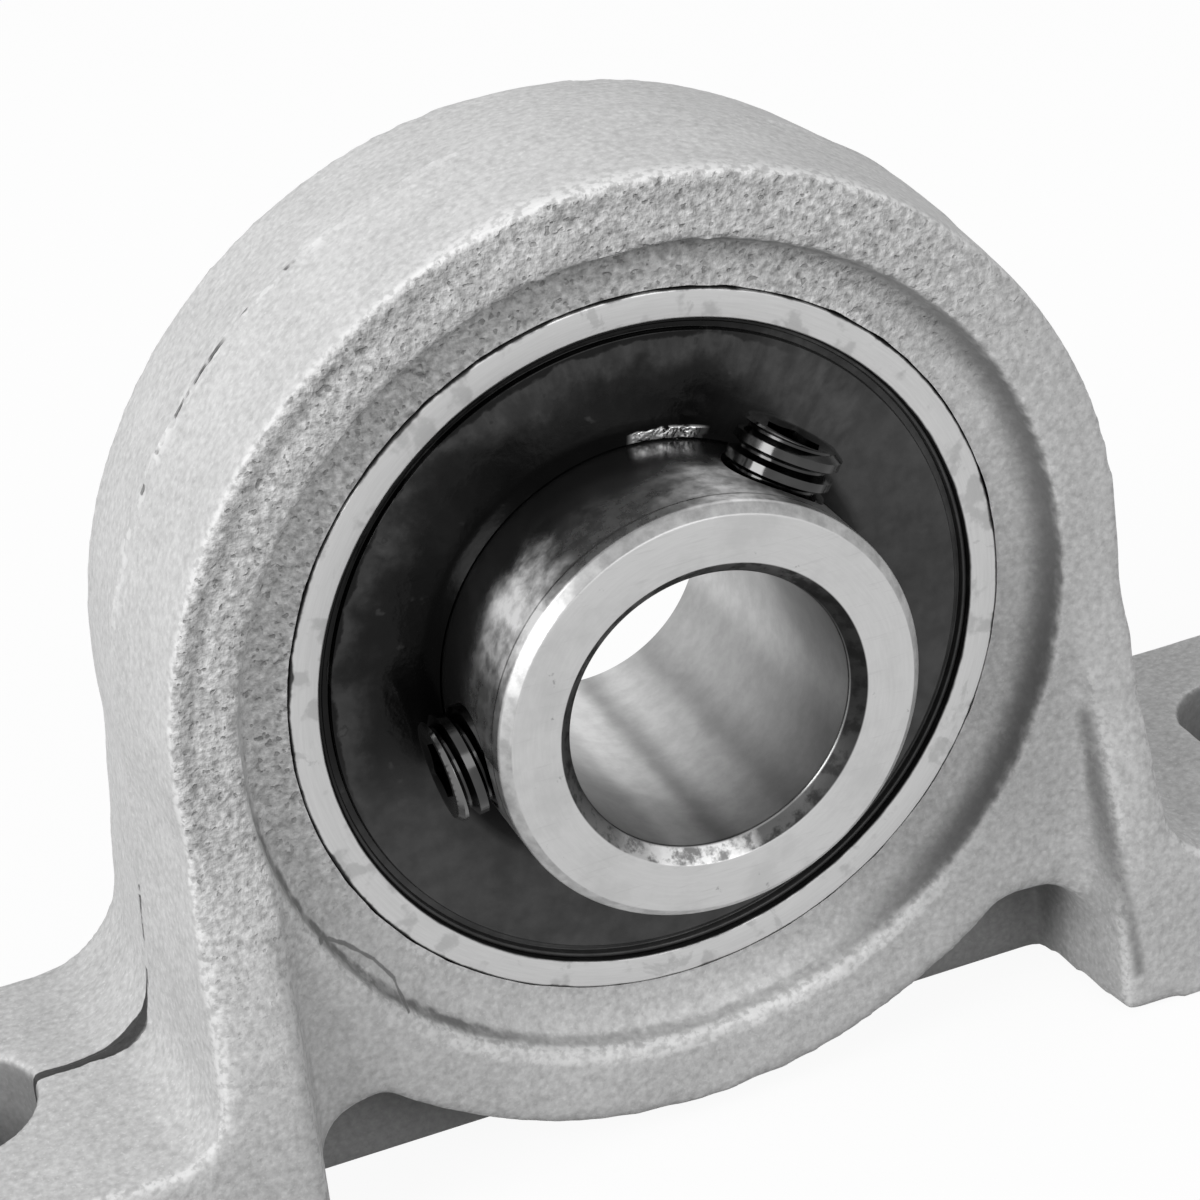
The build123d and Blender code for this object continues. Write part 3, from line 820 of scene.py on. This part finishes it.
def makeCastHousing():
    bm = bmesh.new()
    bm.from_mesh(frame["nodes"]["housing"].data)
    bmesh.ops.scale(bm, vec=(1 / mm, 1 / mm, 1 / mm), verts=bm.verts)
    bmesh.ops.remove_doubles(bm, verts=bm.verts, dist=0.001)
    upright = Matrix.Translation((0, 0, axisHeight)) @ Matrix.Rotation(math.pi / 2, 4, "X")
    addCylinder(bm, casting["plugRadius"], 2 * casting["plugHalf"], upright, 128)
    piece = toObject("castHousing", bm)
    skin = piece.modifiers.new("skin", "REMESH")
    skin.mode = "VOXEL"
    skin.voxel_size = casting["voxel"]
    soften = piece.modifiers.new("soften", "SMOOTH")
    soften.factor = 0.5
    soften.iterations = casting["softening"]
    applyModifiers(piece)
    bm = bmesh.new()
    bm.from_mesh(piece.data)
    for offset in (-casting["linePitch"], 0.0, casting["linePitch"]):
        sliceAt(bm, (0, offset, 0), (0, 1, 0))
    legs = [v for v in bm.verts if casting["legInside"] < abs(v.co.x) < casting["legOutside"]
            and v.co.y < -casting["frontFrom"] and v.co.z < casting["legTop"]]
    smoothVerts(bm, legs, casting["legSoftening"])
    lower = [v for v in bm.verts if casting["lowerFrom"] < v.co.z < casting["lowerTo"]
             and abs(v.co.x) < casting["lowerReach"] and abs(v.co.y) > casting["frontFrom"]]
    smoothVerts(bm, lower, casting["lowerSoftening"])
    roughenCasting(bm)
    bm.to_mesh(piece.data)
    bm.free()
    cutter = bmesh.new()
    bmesh.ops.create_uvsphere(cutter, u_segments=256, v_segments=128,
                              radius=sphereRadius + casting["seatGap"], matrix=upright)
    for vert in cutter.verts:  # the mouth of the seat is a little uneven
        outwards = (vert.co - Vector((0, 0, axisHeight))).normalized()
        bump = max(0, noise.noise(vert.co * casting["seatBumps"]))
        vert.co += outwards * (casting["seatRough"] * bump)
    cutWith(piece, toObject("seatCutter", cutter))
    dress(piece, "housing", castAlloyFinish, ["housing"], sharp=50)


makeCastHousing()


# Bearing rings, spun from their sections
def raceBow(grooveOffset, landRadius):
    radius = ballRadius * rings["conformity"]
    depth = ballRadius + rings["raceClearance"] - radius
    centre = pitchRadius + grooveOffset * depth
    return centre, radius, math.sqrt(radius ** 2 - (landRadius - centre) ** 2)


def makeOuterRing():
    faceRadius = math.sqrt(sphereRadius ** 2 - ringHalf ** 2)
    land = sleeveRadius + rings["gap"]
    centre, radius, mouth = raceBow(1, land)
    half = [(faceRadius, ringHalf, rings["edge"]), (seatRadius, ringHalf, rings["seatChamfer"]),
            (seatRadius, sealBack, 0), (land, sealBack, 0.05), (land, mouth, 0)]
    corners = half + [(r, -front, rounding) for r, front, rounding in reversed(half)]
    bows = ((4, 5, centre, radius, rings["raceSteps"]),
            (len(corners) - 1, 0, 0, sphereRadius, rings["sphereSteps"]))
    dress(lathe("outerRing", corners, bows), "outer_ring", groundSteelFinish, ["outer_ring"])


# Set screws with a real thread and a hexagon socket. Crest and root end are shares of the pitch
screws = {"pieces": {"set_screw_upper": "upperSetScrew", "set_screw_side": "sideSetScrew"},
          "radius": 1.48, "rootRadius": 1.22, "pitch": 0.58, "rootEnd": 0.12, "crest": (0.34, 0.76),
          "spareTurns": 3, "steps": 48, "holeRadius": 1.5, "holeDepth": 4, "holeInset": 1.0,
          "socketFlats": 1.5, "socketDepth": 1.3, "mouthRadius": 1.12, "mouthDepth": 0.28,
          "blankRadius": 2, "endChamfer": 0.14}


def screwSpot(node):
    low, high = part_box(node)
    axis = Vector(joints[node + "_travel"]["axis"]).normalized()
    middle = Vector((0, (low.y + high.y) / 2 / mm, axisHeight))
    reach = [(vert.co / mm - middle).dot(axis) for vert in frame["nodes"][node].data.vertices]
    return middle, axis, min(reach), max(reach)


def alongScrew(middle, axis):
    return Matrix.Translation(middle) @ axis.to_track_quat("Z", "Y").to_matrix().to_4x4()


def makeInnerRing():
    chamfer, end = rings["boreChamfer"], rings["endChamfer"]
    centre, radius, mouth = raceBow(-1, sleeveRadius)
    corners = [(boreRadius, -ringHalf + chamfer, 0), (boreRadius + chamfer, -ringHalf, 0.03),
               (sleeveRadius - end, -ringHalf, 0.04), (sleeveRadius, -ringHalf + end, 0.05),
               (sleeveRadius, -mouth, 0), (sleeveRadius, mouth, 0),
               (sleeveRadius, sleeveFront - end, 0.05), (sleeveRadius - end, sleeveFront, 0.04),
               (boreRadius + chamfer, sleeveFront, 0.03), (boreRadius, sleeveFront - chamfer, 0.05)]
    piece = lathe("innerRing", corners, bows=((4, 5, centre, radius, rings["raceSteps"]),))
    outwards = Matrix.Translation((0, 0, sleeveRadius - screws["holeInset"]))
    for node in screws["pieces"]:
        middle, axis, _, _ = screwSpot(node)
        drill = bmesh.new()
        addCylinder(drill, screws["holeRadius"], screws["holeDepth"], alongScrew(middle, axis) @ outwards, 64)
        cutWith(piece, toObject("drill", drill))
    dress(piece, "inner_ring", turnedSteelFinish, ["inner_ring"])


def makeThread(low, high):
    pitch, steps, root = screws["pitch"], screws["steps"], screws["rootRadius"]
    turns = math.ceil((high - low) / pitch) + screws["spareTurns"]
    start = low - screws["spareTurns"] / 2 * pitch
    crest = [(screws["radius"], share) for share in screws["crest"]]
    section = [(root, 0), (root, screws["rootEnd"]), *crest, (root, 1)]
    bm = bmesh.new()
    verts = [bm.verts.new((radius, 0, start + share * pitch)) for radius, share in section]
    for first, second in zip(verts, verts[1:]):
        bm.edges.new((first, second))
    bmesh.ops.spin(bm, geom=bm.verts[:] + bm.edges[:], cent=(0, 0, 0), axis=(0, 0, 1),
                   dvec=(0, 0, pitch / steps), angle=math.tau * turns, steps=steps * turns)
    bmesh.ops.remove_doubles(bm, verts=bm.verts, dist=0.0005)
    for height, up in ((low, -1), (high, 1)):
        sliceAt(bm, (0, 0, height), (0, 0, up), clearOuter=True)
    bmesh.ops.holes_fill(bm, edges=[e for e in bm.edges if e.is_boundary], sides=0)
    bmesh.ops.recalc_face_normals(bm, faces=bm.faces)
    return toObject("thread", bm)


def makeSetScrew(node, name):
    middle, axis, low, high = screwSpot(node)
    piece = makeThread(low, high)
    piece.name = name
    blank = bmesh.new()
    addCylinder(blank, screws["blankRadius"], high - low, Matrix.Translation((0, 0, (low + high) / 2)), 96)
    ends = [edge for edge in blank.edges if any(len(face.verts) > 4 for face in edge.link_faces)]
    chamfer = screws["endChamfer"] + screws["blankRadius"] - screws["radius"]
    bmesh.ops.bevel(blank, geom=ends, offset=chamfer, offset_type="OFFSET", segments=1, profile=0.5,
                    affect="EDGES", material=-1, clamp_overlap=True)
    cutWith(piece, toObject("blank", blank), "INTERSECT")
    top = Matrix.Translation((0, 0, high))
    socket = bmesh.new()
    addCylinder(socket, screws["socketFlats"] / math.sqrt(3), 2 * screws["socketDepth"], top, 6)
    cutWith(piece, toObject("socket", socket))
    mouth = bmesh.new()
    addCylinder(mouth, 2 * screws["mouthRadius"], 2 * screws["mouthDepth"], top, 96, foot=0.0)
    cutWith(piece, toObject("mouth", mouth))
    piece.data.transform(alongScrew(middle, axis))
    dress(piece, node, blackenedFinish, [node], sharp=30)


makeOuterRing()
makeInnerRing()
for node, name in screws["pieces"].items():
    makeSetScrew(node, name)

# Rubber seals, front and back
seal = {"lipGap": 0.05, "rimWidth": 0.14, "grooveWidth": 0.22, "grooveDepth": 0.22, "lipWidth": 0.6,
        "lipDrop": 0.2}


def makeSeal(name, node, side):
    lip = sleeveRadius + seal["lipGap"]
    rim = seatRadius - seal["rimWidth"]
    groove = rim - seal["grooveWidth"]
    floor = sealFace - seal["grooveDepth"]
    corners = [(lip, sealBack, 0), (seatRadius, sealBack, 0), (seatRadius, sealFace, 0.06),
               (rim, sealFace, 0.05), (rim, floor, 0.04), (groove, floor, 0.04), (groove, sealFace, 0.06),
               (lip + seal["lipWidth"], sealFace, 0.15), (lip, sealFace - seal["lipDrop"], 0.03)]
    corners = [(radius, side * front, rounding) for radius, front, rounding in corners]
    dress(lathe(name, corners), "outer_ring", sealRubberFinish, [node])


makeSeal("frontSeal", "seal_front", 1)
makeSeal("backSeal", "seal_back", -1)

# The pieces inside keep their solids and get their finishes
for part in frame["record"]["subparts"]:
    if part["material_slot"] in hiddenFinishes:
        node = frame["nodes"][part["node"]]
        node.data.materials.clear()
        node.data.materials.append(hiddenFinishes[part["material_slot"]])

# Camera, floor and light
view = {"place": (-27.682, -80.551, 59.001), "target": (-1.011, -2.232, 16.328), "roll": -6.472,
        "lens": 102.0, "sensor": 36.0}
light = {"sky": 0.5, "floorShade": 0.08, "floorSeen": 0.9, "floorWhite": 0.93, "floorHalf": 3.0,
         "floorDrop": 0.00002}


def makeCamera():
    data = bpy.data.cameras.new("camera")
    data.lens, data.sensor_width = view["lens"], view["sensor"]
    data.clip_start, data.clip_end = 0.005, 20
    camera = addObject("camera", data)
    place, target = Vector(view["place"]) * mm, Vector(view["target"]) * mm
    turn = (target - place).to_track_quat("-Z", "Y") @ Quaternion((0, 0, 1), math.radians(view["roll"]))
    camera.matrix_world = Matrix.Translation(place) @ turn.to_matrix().to_4x4()
    bpy.context.scene.camera = camera


def startBackground(owner):  # the second value is 1 where it is seen straight, mirrored or through
    owner.use_nodes = True
    tree = owner.node_tree
    tree.nodes.clear()
    path = addNode(tree, "LightPath").outputs
    return tree, most(tree, path["Is Camera Ray"], path["Is Glossy Ray"], path["Is Transmission Ray"])


def endBackground(tree, output, amount, shaded, white):
    mixed = addNode(tree, "MixShader", i0=amount, i1=shaded.outputs[0], i2=white.outputs[0])
    addNode(tree, output, Surface=mixed.outputs[0])


def makeFloor():
    bm = bmesh.new()
    bmesh.ops.create_grid(bm, x_segments=1, y_segments=1, size=light["floorHalf"])
    bmesh.ops.translate(bm, vec=(0, 0, -light["floorDrop"]), verts=bm.verts)
    floor = toObject("floor", bm)
    material = bpy.data.materials.new("paleFloor")
    tree, seen = startBackground(material)
    shaded = addNode(tree, "BsdfDiffuse",
                     Color=mix(tree, seen, light["floorShade"], light["floorSeen"]))
    white = addNode(tree, "Emission", Color=(1, 1, 1, 1), Strength=1.0)
    endBackground(tree, "OutputMaterial", times(tree, seen, light["floorWhite"]), shaded, white)
    floor.data.materials.append(material)


def makeSky():
    world = bpy.data.worlds.new("tent")
    bpy.context.scene.world = world
    tree, seen = startBackground(world)
    shaded, white = (addNode(tree, "Background", Color=(1, 1, 1, 1), Strength=strength)
                     for strength in (light["sky"], 1.0))
    endBackground(tree, "OutputWorld", seen, shaded, white)


lamps = {  # place and size in metres, power in watts
    "keyLamp": ((-0.37, -0.15, 0.24), 0.22, 1.45),
    "fillLamp": ((0.1, -0.38, 0.24), 0.25, 0.5),
}


def makeLamp(name, place, across, power):
    data = bpy.data.lights.new(name, "AREA")
    data.size, data.energy = across, power
    lamp = addObject(name, data)
    aim = Vector((0, 0, axisHeight * mm)) - Vector(place)
    lamp.matrix_world = Matrix.Translation(place) @ aim.to_track_quat("-Z", "Y").to_matrix().to_4x4()


makeCamera()
makeFloor()
makeSky()
for name, lamp in lamps.items():
    makeLamp(name, *lamp)
bpy.context.scene.view_settings.view_transform = "Standard"
